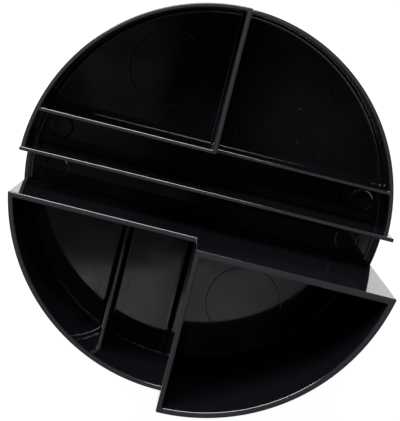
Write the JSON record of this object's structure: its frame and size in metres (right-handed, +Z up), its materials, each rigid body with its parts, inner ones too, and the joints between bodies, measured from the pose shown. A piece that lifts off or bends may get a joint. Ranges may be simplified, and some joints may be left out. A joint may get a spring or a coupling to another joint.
{
  "type": "desk organiser",
  "caption": "Round stepped desk organiser in glossy black plastic, with low front dishes, a pencil tray, a letter slot, upright bays and a tall pen well.",
  "frame": {"origin": "centre of the round resting plane, on the surface that the organiser stands on", "axes": "+Z up out of the compartments, -Y towards the low front, +X to the right seen from the front"},
  "size_m": [0.145, 0.145, 0.085],
  "materials": {
    "moulded_plastic": "high gloss black polystyrene, lightly scratched"
  },
  "bodies": {
    "root": {"foot_ring": "moulded_plastic", "base_floor": "moulded_plastic", "front_right_outer_wall": "moulded_plastic", "front_left_outer_wall": "moulded_plastic", "pencil_tray_right_end": "moulded_plastic", "pencil_tray_left_end": "moulded_plastic", "letter_slot_right_sill": "moulded_plastic", "letter_slot_left_sill": "moulded_plastic", "rear_right_outer_wall": "moulded_plastic", "pen_well_outer_wall": "moulded_plastic", "front_right_cross_wall": "moulded_plastic", "front_left_cross_wall": "moulded_plastic", "middle_cross_wall": "moulded_plastic", "rear_right_cross_wall": "moulded_plastic", "pen_well_cross_wall": "moulded_plastic", "front_divider": "moulded_plastic", "rear_divider": "moulded_plastic", "pen_well_side_wall": "moulded_plastic"}
  },
  "joints": []
}
